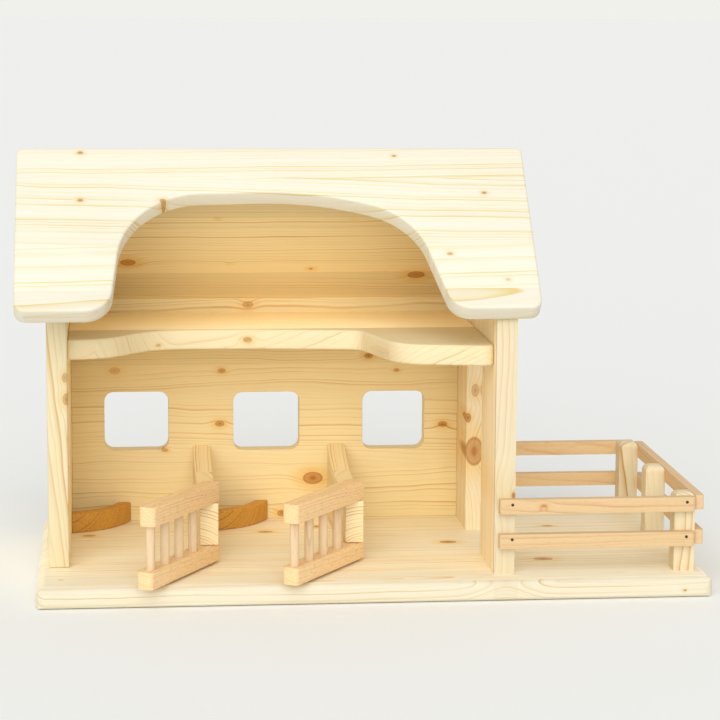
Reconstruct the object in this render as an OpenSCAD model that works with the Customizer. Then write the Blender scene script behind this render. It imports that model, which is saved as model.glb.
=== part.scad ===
/* [Boards] */
// Thickness of every plain board: base, walls, roof and loft
board_t = 18; // [16:0.5:20]
// Length of the base board
base_l = 586; // [570:1:640]
// Width of the base board, front to back
base_w = 278; // [272:1:300]
// Round on the base board's upper edges and upright corners
base_r = 8; // [4:0.5:8]
// Round on the base board's lower edges
base_low_r = 4; // [2:0.5:4]

/* [Barn] */
// Length of the barn over its two end walls
barn_l = 404; // [396:1:420]
// Depth of the right wall, which is also the depth of the barn
barn_w = 254; // [250:1:262]
// How far the left wall stands back from the right wall's front edge
left_setback = 51; // [40:1:60]
// Height of the ridge above the base board
ridge_h = 364; // [355:1:390]
// Distance of the ridge behind the right wall's front edge
ridge_y = 111; // [105:1:118]
// Length of the front roof board down its slope
front_slope = 180; // [176:1:186]
// Length of the back roof slope from the ridge to its eave
back_slope = 225; // [222:1:236]
// How far the roof passes the left wall
roof_left = 25; // [15:1:30]
// How far the roof passes the right wall
roof_right = 19; // [15:1:30]
// Corner round of the roof boards at the eaves
roof_r = 10; // [4:1:14]
// Corner round of the front roof board at the ridge
ridge_r = 6; // [2:1:10]

/* [Arch in the roof] */
// Height of the arch's crown, measured up the slope from the eave
arch_h = 130; // [124:1:136]
// Width of the left leg of the roof board at the eave
arch_left = 80; // [74:1:84]
// Width of the right leg of the roof board at the eave
arch_right = 76.5; // [70:0.5:84]
// Round at the foot of the left leg
foot_left_r = 24; // [10:1:34]
// Round at the foot of the right leg
foot_right_r = 21; // [10:1:30]

/* [Doorway and windows] */
// Width of the doorway in the right wall
door_w = 93; // [80:1:100]
// Height of the doorway
door_h = 179; // [150:1:180]
// Distance of the doorway from the right wall's front edge
door_y = 81; // [70:1:90]
// Width of the first window, which the others nearly share
window_w = 60.5; // [50:0.5:62]
// Height of a window
window_h = 56; // [45:0.5:60]
// Height of the first window's sill above the base board
window_sill = 68.5; // [62:0.5:74]
// Corner round of the windows and the doorway
opening_r = 9; // [3:1:14]

/* [Loft] */
// Height of the loft floor's top above the base board
loft_h = 200; // [200:1:202]
// Round of the loft floor's front right corner
loft_r = 8; // [2:1:12]

/* [Stalls] */
// Width of a stall, from divider to divider
stall_pitch = 128.5; // [126:0.5:130]
// Thickness of a divider
divider_t = 16; // [14:0.5:18]
// Height of a divider at its front end
divider_h = 55.4; // [52:0.2:60]
// Radius of the hollow curve that lifts a divider's back end
divider_r = 280; // [260:5:400]
// Outer radius of a feed trough's curved strip
manger_r = 70; // [62:1:74]
// Thickness of the strip
manger_t = 12.5; // [8:0.5:14]
// Height of the strip
manger_h = 18.5; // [14:0.5:24]

/* [Gates] */
// How far the left gate stands open from its closed place, in degrees
gate_1_open = 60; // [0:1:90]
// How far the right gate stands open from its closed place, in degrees
gate_2_open = 56; // [0:1:90]
// Width of a gate's rails
gate_rail_w = 15.5; // [13:0.5:16]
// Height of a gate's lower rail
gate_low_h = 15; // [13:0.2:15.2]
// Height of a gate's upper rail
gate_top_h = 16.6; // [14:0.2:20]
// Distance of the last bar from the end of a gate
bar_end = 9; // [8:0.5:16]
// Diameter of a gate's bars
bar_d = 8; // [6:0.5:9]
// Diameter of a gate's pivot pin
pin_d = 6; // [5:0.5:7]

/* [Fence] */
// Width of a square fence post
post_w = 18; // [16:0.5:20]
// Height of a fence post
post_h = 70; // [69:1:80]
// Height of a fence rail
rail_h = 12.8; // [10:0.2:14]
// Thickness of a fence rail
rail_t = 7.8; // [6:0.2:10]
// Height of the upper rail's top above the base board
rail_top = 67.4; // [64:0.2:68]
// Height of the lower rail's top above the base board
rail_low = 36.6; // [30:0.2:40]
// Length of a nail in the fence rails
nail_l = 16; // [14:1:18]

/* [Hidden] */
$fn = 96;

spruce = "#e3c48f";
beech = "#dcae84";
dowel_wood = "#e6c69a";
dark_wood = "#9c5f3c";
steel = "#8d8d8a";

// Pieces are drawn from the corner where the left wall's outer face, the right wall's front edge
// and the top of the base board would meet. The part's origin is under the middle of the base.
base_left = 10;
base_front = base_w - barn_w;
module on_base() translate([base_left - base_l / 2, base_front - base_w / 2, board_t]) children();

// Inner faces of the walls
inner_left = board_t;
inner_right = barn_l - board_t;
inner_back = barn_w - board_t;

// Height of the roof's underside above a line at depth y
function under_roof(y) = ridge_h - abs(y - ridge_y) - board_t * sqrt(2);

// Unit vector from point a towards point b
function unit(a, b) = (b - a) / norm(b - a);

// Points along the arc that rounds corner p between its neighbours a and b, every few degrees
arc_step = 5;
function corner_arc(a, p, b, r) =
    let (half = acos(unit(p, a) * unit(p, b)) / 2)
    let (start = p + unit(p, a) * r / tan(half))
    let (centre = p + unit([0, 0], unit(p, a) + unit(p, b)) * r / sin(half))
    let (from = atan2(start.y - centre.y, start.x - centre.x))
    let (turn = sign(cross(p - a, b - p)) * (180 - 2 * half))
    let (steps = ceil(abs(turn) / arc_step))
    [for (k = [0:steps]) centre + r * [cos(from + turn * k / steps), sin(from + turn * k / steps)]];

// An outline whose corners, listed anticlockwise, each have a radius, 0 where sharp
module rounded(corners, radii) {
    n = len(corners);
    function before(i) = corners[(i + n - 1) % n];
    function after(i) = corners[(i + 1) % n];
    polygon([
        for (i = [0:n - 1])
            each radii[i] == 0 ? [corners[i]] : corner_arc(before(i), corners[i], after(i), radii[i])
    ]);
}

// A rectangle from its lower left corner, with the same round at all corners
module round_rect(l, w, r) {
    translate([r, 0]) square([l - 2 * r, w]);
    translate([0, r]) square([l, w - 2 * r]);
    for (x = [r, l - r], y = [r, w - r])
        translate([x, y]) circle(r);
}

// A board cut to an outline of depth and height, standing across the barn from x
module across(x, t) translate([x, 0, 0]) rotate([90, 0, 90]) linear_extrude(t) children();

// A board cut to an outline of length and height, standing along the barn from y
module along(y, t) translate([0, y + t, 0]) rotate([90, 0, 0]) linear_extrude(t) children();

// Section through the base board: big rounds above, small ones below
module base_section(l) {
    translate([0, base_low_r]) square([l, board_t - base_r - base_low_r]);
    translate([base_r, base_low_r]) square([l - 2 * base_r, board_t - base_low_r]);
    translate([base_low_r, 0]) square([l - 2 * base_low_r, board_t - base_r]);
    for (x = [base_r, l - base_r])
        translate([x, board_t - base_r]) circle(base_r);
    for (x = [base_low_r, l - base_low_r])
        translate([x, base_low_r]) circle(base_low_r);
}

module base_board() {
    color(spruce)
    on_base()
    translate([-base_left, -base_front, -board_t])
    intersection() {
        linear_extrude(board_t) round_rect(base_l, base_w, base_r);
        across(0, base_l) base_section(base_w);
        along(0, base_w) base_section(base_l);
    }
}

// Outline of an end wall, from its front edge to the back and up to the roof's underside
module end_wall(front) {
    polygon([
        [front, 0], [barn_w, 0], [barn_w, under_roof(barn_w)],
        [ridge_y, under_roof(ridge_y)], [front, under_roof(front)]
    ]);
}

module left_wall() {
    color(spruce) on_base() across(0, board_t) end_wall(left_setback);
}

module right_wall() {
    sill_depth = 20;
    color(spruce) on_base()
    difference() {
        across(inner_right, board_t)
        difference() {
            end_wall(0);
            translate([door_y, -sill_depth]) round_rect(door_w, door_h + sill_depth, opening_r);
        }
        front_nails();
        back_nails();
    }
}

// The windows are cut by hand: each has its own place, width and sill
window_x = [49, 171, 294.5];
window_wider = [0, 2.5, -1];
window_lower = [0, 1.3, 1.7];
module back_wall() {
    color(spruce) on_base()
    difference() {
        across(inner_left, inner_right - inner_left)
        polygon([
            [inner_back, 0], [barn_w, 0],
            [barn_w, under_roof(barn_w)], [inner_back, under_roof(inner_back)]
        ]);
        for (i = [0:2])
            translate([window_x[i], inner_back - 1, window_sill - window_lower[i]])
            along(0, board_t + 2)
            round_rect(window_w + window_wider[i], window_h, opening_r);
    }
}

// The loft floor reaches furthest forward at the right wall, swings back to leave the stalls open
// and comes forward a little again at the left wall
loft_middle = 121;
loft_curve = [[54, 72], [96, loft_middle], [192, loft_middle - 2], [278, 109], [303, 23]];
loft_curve_r = [50, 52, 300, 17, 37];
module loft_shelf() {
    left_edge = 65;
    right_edge = 9;
    corners = concat(
        [[inner_left, left_edge]], loft_curve,
        [[inner_right, right_edge], [inner_right, inner_back], [inner_left, inner_back]]
    );
    radii = concat([0], loft_curve_r, [loft_r, 0, 0]);
    color(spruce) on_base()
    translate([0, 0, loft_h - board_t]) linear_extrude(board_t) rounded(corners, radii);
}

// Moves an outline, drawn with the ridge as its X axis, onto the top of a slope and gives it the
// board's thickness below
module on_slope(tilt) {
    translate([0, ridge_y, ridge_h]) rotate([tilt, 0, 0])
    translate([0, 0, -board_t]) linear_extrude(board_t) children();
}

// The front roof board runs up to the ridge and has a wide arch cut into it from the eave. The
// arch leans in a little on both sides, and its top falls to the right.
module roof_front() {
    lean_left = 15;
    lean_right = 27.5;
    fall_left = 4;
    fall_right = 26;
    top_left_r = 76;
    crown_r = 270;
    top_right_r = 72;
    left = -roof_left;
    right = barn_l + roof_right;
    crown = arch_h - front_slope;
    crown_x = (left + right) / 2 + 31;
    color(spruce) on_base() on_slope(45)
    rounded(
        [
            [right, 0], [left, 0], [left, -front_slope],
            [left + arch_left, -front_slope], [left + arch_left + lean_left, crown - fall_left],
            [crown_x, crown], [right - arch_right - lean_right, crown - fall_right],
            [right - arch_right, -front_slope], [right, -front_slope]
        ],
        [
            ridge_r, ridge_r, roof_r, foot_left_r,
            top_left_r, crown_r, top_right_r, foot_right_r, roof_r
        ]
    );
}

// The back roof board butts against the front one under the ridge
module roof_back() {
    left = -roof_left;
    right = barn_l + roof_right;
    color(spruce) on_base() on_slope(-45)
    rounded(
        [[left, board_t], [right, board_t], [right, back_slope], [left, back_slope]],
        [0, 0, roof_r, roof_r]
    );
}

// Each divider ends in a finger that carries a gate's pivot. Below it a notch lets the gate's
// lower rail turn. The top is level in front and rises in a hollow curve to the back wall.
first_divider = 140.5;
divider_front = 52;
pivot_y = divider_front + 8;
notch_y = pivot_y + 14;
finger_z = 18.2;
pin_play = 0.06;
module divider(i) {
    level_end = 140;
    back_h = divider_h + divider_r - sqrt(pow(divider_r, 2) - pow(inner_back - level_end, 2));
    x = first_divider + i * stall_pitch;
    color(spruce) on_base()
    difference() {
        across(x - divider_t / 2, divider_t)
        difference() {
            polygon([
                [notch_y, 0], [inner_back, 0], [inner_back, back_h], [level_end, back_h],
                [level_end, divider_h], [divider_front, divider_h],
                [divider_front, finger_z], [notch_y, finger_z]
            ]);
            translate([level_end, divider_h + divider_r]) circle(divider_r, $fn = 360);
        }
        translate([x, pivot_y, finger_z - 1])
        cylinder(d = pin_d + 2 * pin_play, h = divider_h - finger_z + 2);
    }
}

// A curved strip fences off the stall's left back corner as a feed trough
module manger(x) {
    centre_left = 12;
    centre_back = 18.7;
    color(dark_wood) on_base()
    intersection() {
        translate([x - centre_left, inner_back + centre_back, 0])
        difference() {
            cylinder(r = manger_r, h = manger_h, $fn = 180);
            translate([0, 0, -1]) cylinder(r = manger_r - manger_t, h = manger_h + 2, $fn = 180);
        }
        translate([x, inner_back - manger_r, 0]) cube([manger_r, manger_r, manger_h]);
    }
}

// A gate is drawn along +X from its pivot. Closed, it points to the left, and it is shown as far
// open as its angle says.
gate_gap = 2.6;
gate_len = stall_pitch - 13.5;
gate_tail = 8.5;
gate_top_z = divider_h + 0.5;
gate_height = gate_top_z + gate_top_h;
socket = 9;
glue_gap = 0.05;
bar_count = 4;
bar_first = 30.5;
bar_step = (gate_len - bar_end - bar_first) / (bar_count - 1);
module at_gate(i) {
    open = [gate_1_open, gate_2_open][i];
    on_base()
    translate([first_divider + i * stall_pitch, pivot_y, 0]) rotate([0, 0, 180 + open])
    children();
}

// A gate's rail with its upright edges rounded, which lets it turn close to the divider
gate_rail_r = 4.5;
module gate_rail(h, longer) {
    translate([-gate_tail, -gate_rail_w / 2, 0]) linear_extrude(h)
    round_rect(gate_tail + gate_len + longer, gate_rail_w, gate_rail_r);
}

// Sockets for the bars, all ending at the same distance from the rail's inner side
module bar_sockets(z) {
    for (k = [0:bar_count - 1])
        translate([bar_first + k * bar_step, 0, z]) cylinder(d = bar_d + 2 * glue_gap, h = socket);
}

// The left gate's lower rail is a little longer than its upper one
low_longer = [3.5, 0];
top_longer = [-1.5, 0];
module gate_low_rail(i) {
    color(beech) at_gate(i) translate([0, 0, gate_gap])
    difference() {
        gate_rail(gate_low_h, low_longer[i]);
        bar_sockets(gate_low_h - socket + 0.001);
        translate([0, 0, -1]) cylinder(d = pin_d, h = gate_low_h + 2);
    }
}

module gate_top_rail(i) {
    color(beech) at_gate(i) translate([0, 0, gate_top_z])
    difference() {
        gate_rail(gate_top_h, top_longer[i]);
        bar_sockets(-0.001);
        translate([0, 0, -1]) cylinder(d = pin_d, h = gate_top_h - 3);
    }
}

module gate_bars(i) {
    low = gate_gap + gate_low_h - socket;
    color(dowel_wood) at_gate(i)
    for (k = [0:bar_count - 1])
        translate([bar_first + k * bar_step, 0, low])
        cylinder(d = bar_d, h = gate_top_z + socket - low);
}

module gate_pin(i) {
    color(steel) at_gate(i)
    translate([0, 0, gate_gap + 1]) cylinder(d = pin_d, h = gate_height - 6 - gate_gap);
}

// The fence stands on the right part of the base board, flush with the barn's front and back
post_x = base_l - base_left - 12.5 - post_w;
post_places = [0, (barn_w - post_w) / 2, barn_w - post_w];
rail_left = inner_right + 3.5;
rail_levels = [rail_low, rail_top];

// Nail places: from the left along the front and back rails, and along the side rails
nail_d = 1.6;
nail_head_d = 2.6;
nail_head_t = 0.4;
nail_lift = 2;
nail_x = [rail_left + 11, post_x + post_w / 2];
nail_y = [for (y = post_places) y + post_w / 2];

// A nail at the origin, driven along +Z, with its thin head on the rail's face
module nail() {
    translate([0, 0, -nail_head_t]) cylinder(d = nail_head_d, h = nail_head_t, $fn = 24);
    cylinder(d = nail_d, h = nail_l, $fn = 24);
}

// One row of nails in a pair of rails: front, side or back
module front_nails() {
    for (x = nail_x, top = rail_levels)
        translate([x, -rail_t, top - rail_h / 2 + nail_lift]) rotate([-90, 0, 0]) nail();
}

module back_nails() {
    for (x = nail_x, top = rail_levels)
        translate([x, barn_w + rail_t, top - rail_h / 2 + nail_lift]) rotate([90, 0, 0]) nail();
}

module side_nails() {
    for (y = nail_y, top = rail_levels)
        translate([post_x + post_w + rail_t, y, top - rail_h / 2 - nail_lift])
        rotate([0, -90, 0]) nail();
}

// Square post with a rounded top
post_crown = 6;
module post_outline() {
    intersection() {
        translate([0, -post_crown]) round_rect(post_w, post_h + post_crown, post_crown);
        square([post_w, post_h]);
    }
}

module post(y) {
    color(beech) on_base()
    difference() {
        translate([post_x, y, 0])
        intersection() {
            across(0, post_w) post_outline();
            along(0, post_w) post_outline();
        }
        front_nails();
        side_nails();
        back_nails();
    }
}

// A fence rail lying along +X from the origin, with its upright edges rounded
rail_r = 2;
module rail(l) {
    linear_extrude(rail_h) round_rect(l, rail_t, rail_r);
}

// The front and back rails stop a little short of the posts' outer face
rail_short = 2;
rail_l = post_x + post_w - rail_short - rail_left;
module front_rail(top) {
    color(beech) on_base()
    difference() {
        translate([rail_left, -rail_t, top - rail_h]) rail(rail_l);
        front_nails();
    }
}

module back_rail(top) {
    color(beech) on_base()
    difference() {
        translate([rail_left, barn_w, top - rail_h]) rail(rail_l);
        back_nails();
    }
}

// The side rails are flush with the front and back posts
module side_rail(top) {
    color(beech) on_base()
    difference() {
        translate([post_x + post_w + rail_t, 0, top - rail_h]) rotate([0, 0, 90]) rail(barn_w);
        side_nails();
    }
}

module rail_nails() {
    color(steel) on_base() {
        front_nails();
        side_nails();
        back_nails();
    }
}

base_board();
left_wall();
right_wall();
back_wall();
loft_shelf();
roof_front();
roof_back();
divider(0);  // divider_1
divider(1);  // divider_2
manger(inner_left);  // manger_1
manger(first_divider + divider_t / 2);  // manger_2
gate_low_rail(0);  // gate_1_low_rail
gate_top_rail(0);  // gate_1_top_rail
gate_bars(0);  // gate_1_bars
gate_pin(0);  // gate_1_pin
gate_low_rail(1);  // gate_2_low_rail
gate_top_rail(1);  // gate_2_top_rail
gate_bars(1);  // gate_2_bars
gate_pin(1);  // gate_2_pin
post(post_places[0]);  // post_front
post(post_places[1]);  // post_middle
post(post_places[2]);  // post_back
front_rail(rail_top);  // front_rail_upper
front_rail(rail_low);  // front_rail_lower
side_rail(rail_top);  // side_rail_upper
side_rail(rail_low);  // side_rail_lower
back_rail(rail_top);  // back_rail_upper
back_rail(rail_low);  // back_rail_lower
rail_nails();
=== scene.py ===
# %% [markdown]
# # A wooden toy barn
# The barn is cut from thick softwood boards. Its gates and fence are beech, and everything is left
# bare, so the looks come from three things: where the grain runs in each board, the softly sanded
# edges, and a few knots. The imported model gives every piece's exact place. Here each piece gets
# its sanded edges and its wood.

import math
from functools import partial

import bpy
from mathutils import Matrix, Vector


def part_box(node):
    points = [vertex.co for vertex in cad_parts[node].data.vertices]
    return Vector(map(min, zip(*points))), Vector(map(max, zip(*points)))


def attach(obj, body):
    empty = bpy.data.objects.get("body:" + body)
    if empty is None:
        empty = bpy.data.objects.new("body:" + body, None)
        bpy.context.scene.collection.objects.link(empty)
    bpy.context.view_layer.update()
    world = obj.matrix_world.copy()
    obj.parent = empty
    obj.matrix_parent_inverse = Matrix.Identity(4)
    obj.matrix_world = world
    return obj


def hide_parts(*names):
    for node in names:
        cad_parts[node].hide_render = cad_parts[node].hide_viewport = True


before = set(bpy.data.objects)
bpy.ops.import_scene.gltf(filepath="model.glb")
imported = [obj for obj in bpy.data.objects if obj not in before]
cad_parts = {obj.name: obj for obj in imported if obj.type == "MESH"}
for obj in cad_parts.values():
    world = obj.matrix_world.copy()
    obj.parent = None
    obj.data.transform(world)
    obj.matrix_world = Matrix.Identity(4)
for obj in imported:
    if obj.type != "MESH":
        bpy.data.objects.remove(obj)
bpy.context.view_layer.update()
MM = 0.001

# %% [markdown]
# ## Where things are
# Boards are measured from one corner: the left wall's outer face, the right wall's front edge and
# the top of the base board. One function turns such a place, in millimetres, into the frame's
# metres, so that a knot can be written down as it would be measured with a ruler.

# %% Places on the barn
left_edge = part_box("left_wall")[0].x
front_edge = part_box("right_wall")[0].y
base_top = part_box("base_board")[1].z
CORNER = Vector((left_edge, front_edge, base_top))


def at(x, y, z):
    """A place in the frame, from millimetres measured from the corner."""
    return CORNER + Vector((x, y, z)) * MM


print("corner:", CORNER)

# %% [markdown]
# ## Sanded edges
# A sawn board has knife-sharp edges, and a toy never keeps them: they are broken with sandpaper or
# a router to a radius of one or two millimetres. The light that catches these rounds is what makes
# a board look solid. The planned shapes are exact, so nothing is drawn again. Each piece starts as
# a copy of its planned shape, the copy's loose triangles are merged and its flat faces joined, and
# a bevel rounds only what is a real corner. Without the joining, it would also round the lines
# between two triangles of one flat face.

# %% A piece with sanded edges
SAME_POINT = 0.002 * MM  # corners closer than this are one corner
SAME_FACE = math.radians(0.4)  # triangles that turn less than this are one flat face
SAME_CURVE = math.radians(32)  # faces that turn less than this are shaded as one curve
ROUND_STEPS = 4


def deselect():
    bpy.ops.object.select_all(action="DESELECT")


def sanded(name, node, material, radius, corner=35, body="barn"):
    """A copy of a planned piece with its sharp edges rounded, in its own wood."""
    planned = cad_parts[node]
    piece = bpy.data.objects.new(name, planned.data.copy())
    bpy.context.collection.objects.link(piece)
    piece.data.materials.clear()
    deselect()
    piece.select_set(True)
    bpy.context.view_layer.objects.active = piece
    bpy.ops.object.mode_set(mode="EDIT")
    bpy.ops.mesh.select_all(action="SELECT")
    bpy.ops.mesh.remove_doubles(threshold=SAME_POINT)
    bpy.ops.mesh.dissolve_limited(angle_limit=SAME_FACE)
    bpy.ops.object.mode_set(mode="OBJECT")
    round_off = piece.modifiers.new("sanding", "BEVEL")
    round_off.width = radius * MM
    round_off.segments = ROUND_STEPS
    round_off.limit_method = "ANGLE"
    round_off.angle_limit = math.radians(corner)
    round_off.miter_outer = "MITER_ARC"
    bpy.ops.object.modifier_apply(modifier=round_off.name)
    bpy.ops.object.shade_smooth_by_angle(angle=SAME_CURVE)
    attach(piece, body)
    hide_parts(node)
    piece.select_set(False)
    piece.data.materials.append(material)
    print(name, "in", material.name, "with", len(piece.data.polygons), "faces")


print("sanding tool ready")

# %% [markdown]
# ## One way to add a node
# Materials are graphs: nodes, each doing one sum, joined by links. Making them one by one takes
# several lines a node, so one helper adds a node, sets its values, links its inputs and gives back
# one of its outputs. A socket is given by its name, or by its number where several share a name.
# Colours are written as they are seen, in hex, and turned to the linear values that the renderer
# counts in.


# %% The node helper
def linear(hex_colour):
    """An sRGB hex colour as linear RGBA."""
    parts = [int(hex_colour[i : i + 2], 16) / 255 for i in (1, 3, 5)]
    return [c / 12.92 if c <= 0.04045 else ((c + 0.055) / 1.055) ** 2.4 for c in parts] + [1]


def add(tree, kind, inputs=None, out=0, stops=(), **settings):
    """Adds a node. Inputs map a socket to a value or to another node's output."""
    node = tree.nodes.new("ShaderNode" + kind)
    for key, value in settings.items():
        setattr(node, key, value)
    for key, value in (inputs or {}).items():
        if isinstance(value, bpy.types.NodeSocket):
            tree.links.new(value, node.inputs[key])
        else:
            node.inputs[key].default_value = value
    for i, (place, grey) in enumerate(stops):
        if i == len(node.color_ramp.elements):
            node.color_ramp.elements.new(place)
        node.color_ramp.elements[i].position = place
        node.color_ramp.elements[i].color = (grey, grey, grey, 1)
    return node.outputs if out is None else node.outputs[out]


def start_graph(owner):
    """Empties the graph of a material or world and gives back the helper that fills it."""
    owner.use_nodes = True
    owner.node_tree.nodes.clear()
    return partial(add, owner.node_tree)


print("node helper ready")

# %% [markdown]
# ## Wood, from the tree outwards
# Wood is a stack of cones, the growth rings, round the middle of a tree. A board is a flat cut
# through them, so the lines on its face, the flame shapes and the arcs on its end are all one
# solid pattern: the distance from the tree's middle, cut into rings. Lines painted on each face
# would not meet at the edges, so the pattern is worked out in space. It uses the board's own
# directions, in millimetres: along the grain, across the face and into the board.
#
# A wide board is glued from strips, and each strip comes from another place in another tree. A
# Math node asks whether a point lies past a glue line, and Mix nodes switch there to the next
# strip's numbers. Not every strip is a glue line: on some boards a strip with a lower tone is
# painted shade on a front face that the lamp lights, and raised tones are painted light on
# faces that lie in shadow.

# %% Strips of a glued board
EDGE = -999  # the first strip starts at the board's edge, wherever that is


def strip_here(put, across, strips, spacing):
    """The tree's middle, the tone and the ring width of the strip that a point lies in."""
    strips = [strip if len(strip) > 5 else (*strip, spacing) for strip in strips]
    side, depth, lean, shade, width = strips[0][1:]
    middle = put("CombineXYZ", {0: lean, 1: side, 2: depth})
    # Adding nothing turns a plain number into an output that later nodes can link to.
    tone = put("Math", {0: shade, 1: 0.0}, operation="ADD")
    gap = put("Math", {0: width, 1: 0.0}, operation="ADD")
    for start, side, depth, lean, shade, width in strips[1:]:
        past = put("Math", {0: across, 1: start}, operation="GREATER_THAN")
        middle = put("Mix", {0: past, 4: middle, 5: (lean, side, depth)}, 1, data_type="VECTOR")
        tone = put("Mix", {0: past, 2: tone, 3: shade})
        gap = put("Mix", {0: past, 2: gap, 3: width})
    return middle, tone, gap


print("strips ready")

# %% [markdown]
# ### The tree's middle
# No board is cut exactly along its tree, so the middle leans away as one goes along the board. That
# is what makes the flames. The distance from it counts only across and into the board, and a slow
# noise lets the grain wander, in another way in each strip.

# %% Distance from the tree's middle
OWN_NOISE = 977.0  # turns a strip's tone into a number that gives it a noise of its own
DRIFT = (0.006, 0.012, 0.012)  # waves per mm: 170 mm long and 80 mm wide
DRIFT_GAIN = 3  # a noise hardly leaves the middle third of its range


def tree_radius(put, board, along, middle, own, wander):
    """How far a point is from its tree's middle."""
    lean, side, depth = put("SeparateXYZ", {0: middle}, out=None)
    side = put("Math", {0: along, 1: lean, 2: side}, operation="MULTIPLY_ADD")
    depth = put("Math", {0: along, 1: lean, 2: depth}, operation="MULTIPLY_ADD")
    middle = put("CombineXYZ", {1: side, 2: depth})
    away = put("VectorMath", {0: board, 1: middle}, operation="SUBTRACT")
    away = put("VectorMath", {0: away, 1: (0, 1, 1)}, operation="MULTIPLY")
    radius = put("VectorMath", {0: away}, 1, operation="LENGTH")
    slow = put("VectorMath", {0: board, 1: DRIFT}, operation="MULTIPLY")
    drift = put("TexNoise", {"Vector": slow, "W": own, "Scale": 1.0, "Detail": 3.0},
                noise_dimensions="4D")
    drift = put("Math", {0: drift, 1: 0.5}, operation="SUBTRACT")
    return put("Math", {0: drift, 1: DRIFT_GAIN * wander, 2: radius}, operation="MULTIPLY_ADD")


print("tree ready")

# %% [markdown]
# ### Knots
# A knot is a branch that the board is cut through. The rings bulge round it, its heart is brown
# with a darker rim, and the resin gives it a warm halo. On the face a knot is an oval, longer
# along the grain, and the branch goes on either into the board or across it. Squeezing the
# distances in two directions turns a plain ball into that long oval.

# %% Knots
INTO = (0.62, 1, 0.1)  # 1.6 times as long as wide, and ten times as deep
ACROSS = (0.62, 0.1, 1)
BULGE_FADE = -0.22  # the bulge fades with the square of the distance from the knot
BULGE_HEIGHT = 1.5  # in radii of the knot, like the three distances below
HEART_END = 1.2
HALO_START = 0.9
HALO_END = 3.2
# How brown a knot is from its middle to HEART_END, a little less just inside its rim.
HEART = ((0, 1.0), (0.2, 1.0), (0.36, 0.74), (0.66, 0.64), (0.82, 0.9), (0.95, 0.0))


def grow_knots(put, board, radius, knots):
    """Bends the rings round each knot. Gives the rings, the knots' hearts and their halos."""
    hearts = put("Math", {0: 0.0, 1: 0.0}, operation="ADD")
    halos = hearts
    for x, y, z, branch, size, dark in knots:
        knot = put("VectorMath", {0: board, 1: (x, y, z)}, operation="SUBTRACT")
        knot = put("VectorMath", {0: knot, 1: branch}, operation="MULTIPLY")
        far = put("VectorMath", {0: knot}, 1, operation="LENGTH")
        far = put("Math", {0: far, 1: size}, operation="DIVIDE")
        bulge = put("Math", {0: far, 1: far}, operation="MULTIPLY")
        bulge = put("Math", {0: bulge, 1: BULGE_FADE}, operation="MULTIPLY")
        bulge = put("Math", {0: bulge}, operation="EXPONENT")
        radius = put("Math", {0: bulge, 1: BULGE_HEIGHT * size, 2: radius},
                     operation="MULTIPLY_ADD")
        heart = put("Math", {0: far, 1: HEART_END}, operation="DIVIDE")
        heart = put("ValToRGB", {0: heart}, stops=HEART)
        heart = put("Math", {0: heart, 1: dark}, operation="MULTIPLY")
        hearts = put("Math", {0: hearts, 1: heart}, operation="MAXIMUM")
        halo = put("MapRange", {0: far, 1: HALO_END, 2: HALO_START, 4: dark},
                   interpolation_type="SMOOTHSTEP")
        halos = put("Math", {0: halos, 1: halo}, operation="MAXIMUM")
    return radius, hearts, halos


print("knots ready")

# %% [markdown]
# ### Growth rings
# In a ring, the pale early wood of spring darkens slowly to a thin line of late wood, and ends
# sharply. A good year gives a wide ring and a poor one a narrow one, and no two lines are equally
# dark. So the distance is divided by the ring width and pushed a little by a noise. Its fraction
# is the place in the ring, and its whole part numbers the ring and picks how dark the line is.

# %% Growth rings
# How dark a ring is from its spring to its autumn.
RING = ((0, 0.1), (0.1, 0.0), (0.5, 0.07), (0.78, 0.35), (0.93, 1.0), (1.0, 0.15))
YEARS = 0.09  # waves per mm: good and poor years take turns every 11 mm
YEARS_PUSH = 2.4  # in rings
FAINTEST, DARKEST = 0.15, 1.25
MORE_FAINT = 1.7  # above 1, faint lines are more common than dark ones
PATCH = (0.007, 0.035, 0.035)  # waves per mm: patches 140 mm long and 30 mm wide
PALE_PATCH, DARK_PATCH = 0.35, 1.25
NOISE_LOW, NOISE_HIGH = 0.3, 0.7  # nearly all of a noise lies between these


def ring_lines(put, board, radius, gap, own, strength):
    """How much late wood there is at a point, from 0 to 1."""
    uneven = put("Math", {0: radius, 1: YEARS}, operation="MULTIPLY")
    uneven = put("TexNoise", {"W": uneven, "Scale": 1.0, "Detail": 2.0}, noise_dimensions="1D")
    phase = put("Math", {0: radius, 1: gap}, operation="DIVIDE")
    phase = put("Math", {0: uneven, 1: YEARS_PUSH, 2: phase}, operation="MULTIPLY_ADD")
    ring = put("Math", {0: phase}, operation="FRACT")
    line = put("ValToRGB", {0: ring}, stops=RING)
    count = put("Math", {0: phase}, operation="FLOOR")
    count = put("Math", {0: count, 1: own}, operation="ADD")
    weight = put("TexWhiteNoise", {"W": count}, noise_dimensions="1D")
    weight = put("Math", {0: weight, 1: MORE_FAINT}, operation="POWER")
    weight = put("MapRange", {0: weight, 3: FAINTEST, 4: DARKEST})
    patch = put("VectorMath", {0: board, 1: PATCH}, operation="MULTIPLY")
    patch = put("TexNoise", {"Vector": patch, "Scale": 1.0, "Detail": 2.0})
    patch = put("MapRange", {0: patch, 1: NOISE_LOW, 2: NOISE_HIGH, 3: PALE_PATCH, 4: DARK_PATCH})
    line = put("Math", {0: line, 1: weight}, operation="MULTIPLY")
    line = put("Math", {0: line, 1: patch}, operation="MULTIPLY")
    return put("Math", {0: line, 1: strength}, operation="MULTIPLY", use_clamp=True)


print("rings ready")

# %% [markdown]
# ### Fibres and flecks
# Between the lines, wood is never one even colour: its fibres are a little paler and darker. Real
# ones are a tenth of a millimetre wide, too fine to show, so they are drawn coarser. Beech and
# cherry also have short dark flecks, a few millimetres long, where the rays of the tree are cut.

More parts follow.
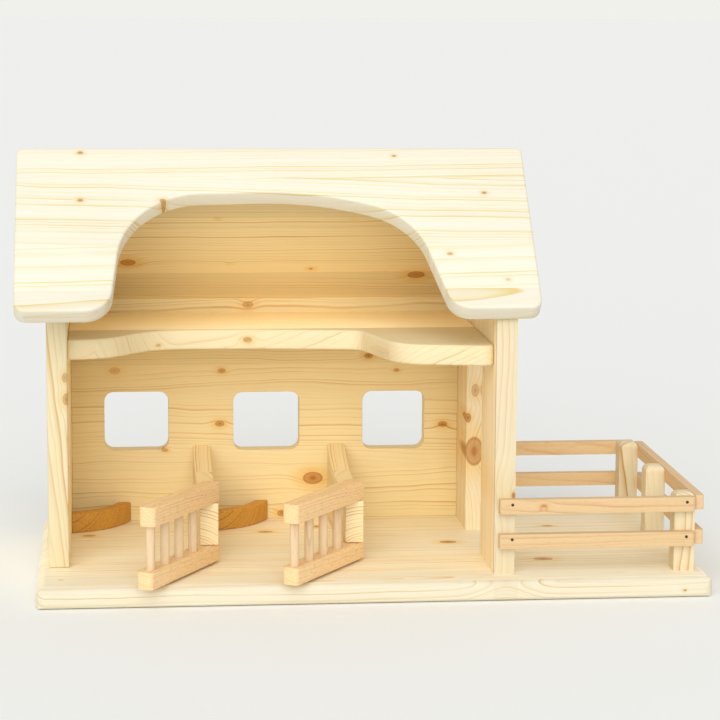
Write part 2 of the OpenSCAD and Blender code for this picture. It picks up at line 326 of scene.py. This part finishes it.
# %% Fibres and flecks
FIBRE = (0.035, 1.5, 1.5)  # waves per mm: 30 mm long and 0.7 mm wide
PALE_FIBRE, DARK_FIBRE = 1.03, 0.965
FLECK = (0.16, 1.3, 1.3)  # waves per mm: 6 mm long and 0.8 mm wide
FLECK_START, FLECK_FULL = 0.55, 0.68  # how high the noise rises where a fleck is


def fibre_tones(put, board, flecks):
    """The fibres, and the tone that they and the flecks give the wood."""
    fibre = put("VectorMath", {0: board, 1: FIBRE}, operation="MULTIPLY")
    fibre = put("TexNoise", {"Vector": fibre, "Scale": 1.0, "Detail": 3.0, "Roughness": 0.6})
    grey = put("MapRange", {0: fibre, 1: NOISE_LOW, 2: NOISE_HIGH, 3: DARK_FIBRE, 4: PALE_FIBRE})
    if flecks:
        fleck = put("VectorMath", {0: board, 1: FLECK}, operation="MULTIPLY")
        fleck = put("TexNoise", {"Vector": fleck, "Scale": 1.0, "Detail": 1.0})
        fleck = put("MapRange", {0: fleck, 1: FLECK_START, 2: FLECK_FULL, 3: 1.0, 4: 1.0 - flecks})
        grey = put("Math", {0: grey, 1: fleck}, operation="MULTIPLY")
    return fibre, grey


print("fibres ready")

# %% [markdown]
# ### The wood itself
# The late-wood lines choose between the early and the late colour, the fibres and the strip's tone
# scale it, and the knots multiply it, as a stain does. Sandpaper takes more off the soft early
# wood, so lines and fibres stand out by a hundredth of a millimetre. Bare sanded wood is nearly
# matt and a little uneven in its gloss, and its IOR is about 1.5.

# %% The wood material
KNOT_BROWN = "#bf8a3a"
KNOT_HALO = "#f8dc90"
HALO_STRENGTH = 0.6
RELIEF = 0.02 * MM
RELIEF_STRENGTH = 0.3
LINE_RELIEF = 0.6  # how much the lines stand out, when the fibres count as 1
SMOOTHEST, ROUGHEST = 0.54, 0.68


def wood(name, place, turn, early, late, strips, spacing=3.0, knots=(), strength=1.0, wander=3.0,
         flecks=0.0):
    """Bare wood whose rings lie round a line along the board.

    place and turn put the pattern on the board. Each strip is (from, tree's middle across, its
    depth, lean, tone) and may end in a ring width of its own. Each knot is (along, across, into,
    direction of its branch, radius, darkness). Everything is in millimetres.
    """
    material = bpy.data.materials.new(name)
    put = start_graph(material)
    here = put("TexCoord", out=3)
    board = put("Mapping", {"Vector": here, "Location": place, "Rotation": turn},
                vector_type="TEXTURE")
    board = put("VectorMath", {0: board, "Scale": 1 / MM}, operation="SCALE")
    along, across = put("SeparateXYZ", {0: board}, out=None)[:2]

    middle, tone, gap = strip_here(put, across, strips, spacing)
    own = put("Math", {0: tone, 1: OWN_NOISE}, operation="MULTIPLY")
    radius = tree_radius(put, board, along, middle, own, wander)
    radius, hearts, halos = grow_knots(put, board, radius, knots)
    line = ring_lines(put, board, radius, gap, own, strength)
    fibre, grey = fibre_tones(put, board, flecks)

    grey = put("Math", {0: grey, 1: tone}, operation="MULTIPLY")
    colour = put("Mix", {0: line, 6: linear(early), 7: linear(late)}, 2, data_type="RGBA")
    colour = put("VectorMath", {0: colour, "Scale": grey}, operation="SCALE")
    if knots:
        halos = put("Math", {0: halos, 1: HALO_STRENGTH}, operation="MULTIPLY")
        colour = put("Mix", {0: halos, 6: colour, 7: linear(KNOT_HALO)}, 2, data_type="RGBA",
                     blend_type="MULTIPLY")
        colour = put("Mix", {0: hearts, 6: colour, 7: linear(KNOT_BROWN)}, 2, data_type="RGBA",
                     blend_type="MULTIPLY")
    height = put("Math", {0: line, 1: LINE_RELIEF, 2: fibre}, operation="MULTIPLY_ADD")
    bump = put("Bump", {"Height": height, "Distance": RELIEF, "Strength": RELIEF_STRENGTH})
    rough = put("MapRange", {0: fibre, 3: SMOOTHEST, 4: ROUGHEST})
    shader = put("BsdfPrincipled", {"Base Color": colour, "Roughness": rough, "Normal": bump,
                                    "IOR": 1.5})
    put("OutputMaterial", {0: shader}, out=None)
    print(name, "made of", len(material.node_tree.nodes), "nodes")
    return material


print("wood ready")

# %% [markdown]
# ## End walls
# The boards are spruce: nearly white early wood and thin yellow-brown lines. The end walls' grain
# stands upright, so the pattern is turned a quarter. A strip whose tree stood far to the side
# shows long straight lines, and one whose middle lies just below the face shows pointed flames.
# The knots are where the real walls have them. Those on the front edges and in the doorway's side
# are branches that grew across the board. The edges are sanded to nearly two millimetres.

# %% End walls
QUARTER = math.radians(90)
# That lower tone is painted shade on the edge that faces the lamp, and the raised tones of the
# The first strip of each wall is its front edge: same tree as the strip behind, lower tone only.
# strips behind it are painted light on the inner faces, which lie in shadow.
left_wood = wood(
    "spruce_left", at(0, 150, 150), (0, -QUARTER, 0), "#ecdcb2", "#cc9c50",
    strips=((EDGE, -60, 12, 0.04, 0.9), (-94, -60, 12, 0.04, 1.28), (-40, -160, 60, 0.02, 1.25),
            (30, 160, 60, 0.02, 1.28)),
    strength=1.2,
    knots=((19, -99, -15.7, ACROSS, 2.4, 0.6), (0, -99, -16.8, ACROSS, 3, 0.7)))
right_wood = wood(
    "spruce_right", at(386, 127, 150), (0, -QUARTER, 0), "#e8d8b4", "#cb9c52",
    strips=((EDGE, -190, 30, 0.02, 0.88), (-122, -190, 30, 0.02, 1.28),
            (-60, 120, 40, -0.02, 1.3), (0, 60, 12, 0.03, 1.12), (55, -160, 40, 0.02, 1.12)),
    strength=1.4,
    knots=((-75, 47, -7.6, ACROSS, 8, 0.9), (-43, 47, -1.5, ACROSS, 2.6, 1.0),
           (-17, 47, -8, ACROSS, 3.5, 0.6), (-80.2, -127, -16.5, ACROSS, 1.6, 1.0)))
sanded("left_wall_piece", "left_wall", left_wood, radius=1.8)
sanded("right_wall_piece", "right_wall", right_wood, radius=1.8)

# %% [markdown]
# ## Back wall
# The back wall's grain lies flat. It is a warmer yellow than the other boards, partly its own
# colour and partly painted shade: the deeper yellow of wood in shadow. It has many knots, and the
# strip below the loft floor grew slowly, so its rings are narrow. That strip's lower tone is
# partly the wood's own and partly painted shade under the loft floor.

# %% Back wall
# The strip from 50 has a tone of 0.93: partly painted shade under the loft floor.
back_wood = wood(
    "spruce_back", at(202, 236, 100), (QUARTER, 0, 0), "#efdaa4", "#cd9a45",
    strips=((EDGE, -190, 60, 0.02, 1.02), (-52, 90, 50, -0.02, 1.0), (16, -120, 60, 0.02, 0.99),
            (50, 220, 70, -0.01, 0.93, 1.9), (82, -40, 60, 0.02, 1.0)),
    spacing=3.2, strength=0.8, wander=6.0,
    knots=((45, -61, 0, INTO, 5.5, 1.0), (170, -10, 0, INTO, 2.6, 0.9),
           (16, -95, 0, INTO, 3, 0.9), (-44, -7, 0, INTO, 2.6, 0.9),
           (-96, -32, 0, INTO, 1.8, 0.7), (-42, 44, 0, INTO, 2.2, 0.8),
           (-143, 45, 0, INTO, 3, 0.5), (125, 43, 0, INTO, 1.6, 0.8),
           (-17, 107, 0, INTO, 3, 0.7), (98, 57, 0, INTO, 2.4, 1.0)))
sanded("back_wall_piece", "back_wall", back_wood, radius=2.0)

# %% [markdown]
# ## Loft floor
# The loft floor's wavy front edge cuts through the rings at a slant, so its lines are far apart
# and run diagonally. Its rear strip is paler than the front ones, which the tone gives. The front
# strips' slightly lower tones are painted shade on the front edge, which faces the lamp.

# %% Loft floor
loft_wood = wood(
    "spruce_loft", at(202, 120, 200), (0, 0, 0), "#eedcb0", "#d3a558",
    strips=((EDGE, -70, 12, 0.09, 0.94), (-50, 150, 50, 0.02, 0.95), (4, -190, 60, 0.02, 1.45)),
    strength=0.7,
    knots=((-24, -8, -9, ACROSS, 2.4, 0.8), (-104, -8, -13, ACROSS, 1.3, 0.6),
           (90, -54, -12, ACROSS, 4, 0.14)))
sanded("loft_shelf_piece", "loft_shelf", loft_wood, radius=2.2)

# %% [markdown]
# ## Roof
# The roof boards meet at the ridge, each tilted by an eighth of a turn, and their patterns start
# there. The front board is the palest of all, with wide rings and the pointed flames at its feet.
# Its paleness is partly its own and partly painted light, as it faces the lamp. The back board is
# a warmer yellow, with narrower rings and bigger knots. That warmth is partly its own and partly
# painted shade: the deeper yellow of its underside, seen in shadow inside the barn.

# %% Roof
EIGHTH = math.radians(45)
ridge_height = (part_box("roof_front")[1].z - CORNER.z) / MM
RIDGE = at(199, 111, ridge_height)
front_roof_wood = wood(
    "spruce_roof_front", RIDGE, (EIGHTH, 0, 0), "#e5dfcc", "#dac47c",
    strips=((EDGE, -172, 2, 0.05, 0.96, 7.0), (-159, -300, 60, 0.03, 1.03, 7.0),
            (-110, 60, 60, -0.03, 1.0), (-36, -160, 60, 0.02, 1.0, 3.0)),
    spacing=4.2, strength=1.6,
    knots=((-168.3, -5.8, 0, INTO, 1.5, 0.9), (-168.3, -60, 0, INTO, 1.5, 0.9),
           (-97, -60.5, 0, INTO, 1.7, 0.9), (108.5, -10, 0, INTO, 1.2, 0.8),
           (185.3, -52.9, 0, INTO, 1.3, 0.9), (148.9, -121.3, 0, INTO, 1.5, 0.7),
           (196.6, -150, 0, INTO, 1.3, 0.4)))
back_roof_wood = wood(
    "spruce_roof_back", RIDGE, (-EIGHTH, 0, 0), "#ecd5a0", "#bb8436",
    strips=((EDGE, -120, 60, 0.02, 0.95), (76, 260, 60, -0.01, 1.06), (156, -90, 60, 0.02, 0.93),
            (190, 320, 60, 0.02, 1.04)),
    spacing=2.6, strength=0.9,
    knots=((-127, 140, 0, INTO, 4.5, 1.0), (143, 161, 0, INTO, 5, 1.0),
           (-46, 77.5, 0, INTO, 1.6, 0.9), (78, 79, 0, INTO, 1.5, 0.5),
           (-33, 142.5, 0, INTO, 1.6, 0.5), (43, 151, 0, INTO, 2, 0.9)))
sanded("roof_front_piece", "roof_front", front_roof_wood, radius=2.4)
sanded("roof_back_piece", "roof_back", back_roof_wood, radius=2.4)

# %% [markdown]
# ## Base board
# The base board is glued from six strips. The narrow one along its front takes in the front face,
# and its tone, the darkest, is painted shade: it keeps the front face, lit head-on by the lamp,
# from looking brighter than the top. The planned shape already has its big rounds, so its copy
# only loses the last trace of the saw.

# %% Base board
base_wood = wood(
    "spruce_base", at(283, 115, 0), (0, 0, 0), "#eee5ca", "#d8b468",
    strips=((EDGE, -190, 60, 0.03, 0.86), (-134, -126, 12, 0.04, 1.12),
            (-100, 120, 70, 0.02, 1.2), (-25, -150, 60, -0.03, 1.17),
            (40, 210, 70, 0.02, 1.19), (95, -60, 60, 0.03, 1.15)),
    strength=1.4,
    knots=((80, 10, 0, INTO, 4.5, 1.0), (183, 69, 0, INTO, 3, 0.8),
           (156, -62, 0, INTO, 5, 0.9), (-249, 60, 0, INTO, 3.5, 0.8),
           (-85, 64, 0, INTO, 4, 0.8), (-36, 83, 0, INTO, 4, 0.8),
           (110, -135, 0, INTO, 7, 0.08), (-272, -107, 0, INTO, 1.2, 0.5),
           (267.7, -139, -11.7, ACROSS, 0.9, 0.9)))
sanded("base_board_piece", "base_board", base_wood, radius=0.4)

# %% [markdown]
# ## Dividers and troughs
# The dividers are the same spruce with the grain from front to back, so their front ends show the
# growth rings as arcs. They come from either side of a tree, and their arcs bend opposite ways.
# The troughs are curved strips of a darker, redder wood, taken to be cherry: orange-brown, with
# close lines and many flecks. Each stall gets its divider and its trough.

# %% Dividers and troughs
trough_wood = wood("cherry_trough", at(40, 200, 0), (0, 0, 0), "#d49b3c", "#8c5224",
                   strips=((EDGE, -60, 40, 0.02, 1.0),), spacing=1.6, strength=0.9, flecks=0.3)
for i, x, tree_depth in ((1, 140.5, -12), (2, 269, 12)):
    divider_wood = wood(
        f"spruce_divider_{i}", at(x, 140, 30), (QUARTER, 0, QUARTER), "#f0dcab", "#c59048",
        strips=((EDGE, -34, tree_depth, 0.02, 1.0), (28, 30, 90, 0.02, 1.02)),
        spacing=2.6, strength=0.95, wander=1.5)
    sanded(f"divider_{i}_piece", f"divider_{i}", divider_wood, radius=1.8)
    sanded(f"trough_{i}_piece", f"manger_{i}", trough_wood, radius=1.5)

# %% [markdown]
# ## Steel
# The gates' pins and the nails are drawn steel wire, left bare and dulled by air and handling. So
# the metal is dark grey with a broad, weak shine, and a fine noise breaks its tone.

# %% Steel
SPECKS = 2000.0  # waves per metre: specks half a millimetre wide
steel = bpy.data.materials.new("dull_steel")
put = start_graph(steel)
speck = put("TexNoise", {"Vector": put("TexCoord", out=3), "Scale": SPECKS, "Detail": 2.0})
tint = put("Mix", {0: speck, 6: linear("#3a3834"), 7: linear("#56524c")}, 2, data_type="RGBA")
shader = put("BsdfPrincipled", {"Base Color": tint, "Metallic": 1.0, "Roughness": 0.5})
put("OutputMaterial", {0: shader}, out=None)
print("metal:", steel.name)

# %% [markdown]
# ## Gates
# Each gate has two square rails with well rounded ends, four round bars and a steel pin that it
# swings on. Beech is pinker than spruce, with hardly any lines and many short dark flecks. The
# gates stand open by different angles, so each has a wood of its own that is turned to lie along
# its rails as they stand in this pose. The wood rides with the gate.

# %% Gates
for i, x, swing in ((1, 140.5, 240), (2, 269, 236)):
    pivot = at(x, 60, 40)
    rail_wood = wood(
        f"beech_gate_{i}", pivot, (0, 0, math.radians(swing)), "#f7d29c", "#d59c5c",
        strips=((EDGE, 20, 50, 0.03, 1.0),), spacing=2.4, strength=0.6, flecks=0.22)
    bar_wood = wood(
        f"beech_bars_{i}", pivot, (0, -QUARTER, 0), "#e4c8a0", "#cb9c6c",
        strips=((EDGE, 30, 50, 0.02, 1.0),), spacing=2.0, strength=0.6, flecks=0.1)
    gate = f"gate_{i}"
    sanded(gate + "_lower", gate + "_low_rail", rail_wood, radius=2.0, body=gate)
    sanded(gate + "_upper", gate + "_top_rail", rail_wood, radius=2.2, body=gate)
    sanded(gate + "_turned_bars", gate + "_bars", bar_wood, radius=0.5, body=gate)
    sanded(gate + "_steel_pin", gate + "_pin", steel, radius=0.6, body=gate)

# %% [markdown]
# ## Fence posts
# The posts are square spruce strips with rounded tops. Where two of these rounds meet, the edge
# starts flat at the top and grows sharp further down, so only the part of it that turns more than
# 50 degrees is taken as a corner.

# %% Fence posts
post_wood = wood(
    "spruce_posts", at(550, 100, 30), (0, -QUARTER, 0), "#e2d2ac", "#be8d4c",
    strips=((EDGE, -200, 30, 0.02, 1.0), (-40, 60, 20, 0.05, 0.97), (70, 190, 14, 0.03, 0.95)),
    spacing=2.8)
for post in ("post_front", "post_middle", "post_back"):
    sanded(post + "_piece", post, post_wood, radius=1.2, corner=50)

# %% [markdown]
# ## Fence rails and nails
# Thin beech rails are held by nails whose small heads look like dark dots. The side rails lie
# across the barn, so they get a wood of their own with its grain turned that way.

# %% Fence rails and nails
along_wood = wood(
    "beech_along", at(480, 0, 60), (0, 0, 0), "#d8b888", "#b88350",
    strips=((EDGE, -60, 30, 0.06, 1.0), (100, 80, 40, 0.06, 1.05)),
    strength=0.6, flecks=0.08, knots=((-52, -8, 1.5, ACROSS, 1.6, 0.6),))
side_wood = wood(
    "beech_side", at(567, 100, 60), (0, 0, QUARTER), "#e2bf90", "#c48f5c",
    strips=((EDGE, 40, 40, 0.03, 0.96),), spacing=2.6, strength=0.6, flecks=0.08)
for side, rail_wood in (("front", along_wood), ("back", along_wood), ("side", side_wood)):
    for level in ("upper", "lower"):
        sanded(f"{side}_{level}_rail", f"{side}_rail_{level}", rail_wood, radius=1.4)
sanded("nails", "rail_nails", steel, radius=0.3)

# %% [markdown]
# ## Floor
# The barn stands on matt white paper. It lies half a millimetre low, so that it never cuts into
# the base board, and it is large enough to have no edge in any view.

# %% Floor
deselect()
bpy.ops.mesh.primitive_plane_add(size=60, location=(0, 0, -0.5 * MM))
floor = bpy.context.object
floor.name = "floor"
paper = bpy.data.materials.new("white_paper")
put = start_graph(paper)
shader = put("BsdfPrincipled", {"Base Color": linear("#f4f5f2"), "Roughness": 0.9})
put("OutputMaterial", {0: shader}, out=None)
floor.data.materials.append(paper)
print("floor:", paper.name)

# %% [markdown]
# ## Sky and backdrop
# Studio light for such a picture is soft and even. An evenly white sky gives about half of it and
# fills the shadows. What the camera sees behind the paper is a pale grey of its own: Light Path
# tells rays from the camera and from reflections apart from those that light the barn.

# %% Sky and backdrop
SKY_STRENGTH = 0.6
world = bpy.data.worlds.new("studio")
bpy.context.scene.world = world
put = start_graph(world)
sky = put("Background", {0: linear("#ffffff"), 1: SKY_STRENGTH})
backdrop = put("Background", {0: linear("#f0f1eb"), 1: 1.0})
rays = put("LightPath", out=None)
seen = put("Math", {0: rays["Is Camera Ray"], 1: rays["Is Glossy Ray"]}, operation="MAXIMUM")
seen = put("Math", {0: seen, 1: rays["Is Transmission Ray"]}, operation="MAXIMUM")
both = put("MixShader", {0: seen, 1: sky, 2: backdrop})
put("OutputWorld", {0: both}, out=None)
print("sky:", world.name)

# %% [markdown]
# ## Lamp
# The rest of the light comes from one lamp in front of the barn, a little above it and to the
# left. It is a sun, because that lights every board alike, and it is made very wide, as a big
# white screen would be, so that it reaches into the stalls with soft shadows.

# %% Lamp
LAMP_STRENGTH = 2.2
LAMP_WIDTH = math.radians(60)
LAMP_SHINES = Vector((0.2, 0.85, -0.48))
soft_light = bpy.data.lights.new("wide_soft_light", "SUN")
soft_light.energy = LAMP_STRENGTH
soft_light.angle = LAMP_WIDTH
light_object = bpy.data.objects.new("wide_soft_light", soft_light)
bpy.context.collection.objects.link(light_object)
light_object.rotation_euler = LAMP_SHINES.to_track_quat("-Z", "Y").to_euler()
print("lamp shines towards:", LAMP_SHINES)

# %% [markdown]
# ## Camera
# The camera's place was worked out from the straight edges of the boards. It stands two metres in
# front of the barn with a long lens, turned a little to the right, and looks down nine degrees.
# Its three directions are worked out first: forward from the two turns, right and up at right
# angles to it, and then both tilted by the small roll.

# %% Camera
YAW, PITCH, ROLL = (math.radians(a) for a in (5.85, 8.90, 0.34))
SENSOR_WIDTH = 36
FOCAL_LENGTH = 122.1
EYE = at(57.4, -2052.3, 513.2)
forward = Vector((math.sin(YAW) * math.cos(PITCH), math.cos(YAW) * math.cos(PITCH),
                  -math.sin(PITCH)))
right = Vector((math.cos(YAW), -math.sin(YAW), 0))
up = right.cross(forward)
right, up = (right * math.cos(ROLL) + up * math.sin(ROLL),
             up * math.cos(ROLL) - right * math.sin(ROLL))
lens = bpy.data.cameras.new("camera")
lens.sensor_width = SENSOR_WIDTH
lens.lens = FOCAL_LENGTH
camera = bpy.data.objects.new("camera", lens)
bpy.context.collection.objects.link(camera)
camera.location = EYE
camera.rotation_euler = Matrix((right, up, -forward)).transposed().to_euler()
bpy.context.scene.camera = camera
bpy.context.scene.view_settings.view_transform = "Standard"
print("camera at:", EYE)
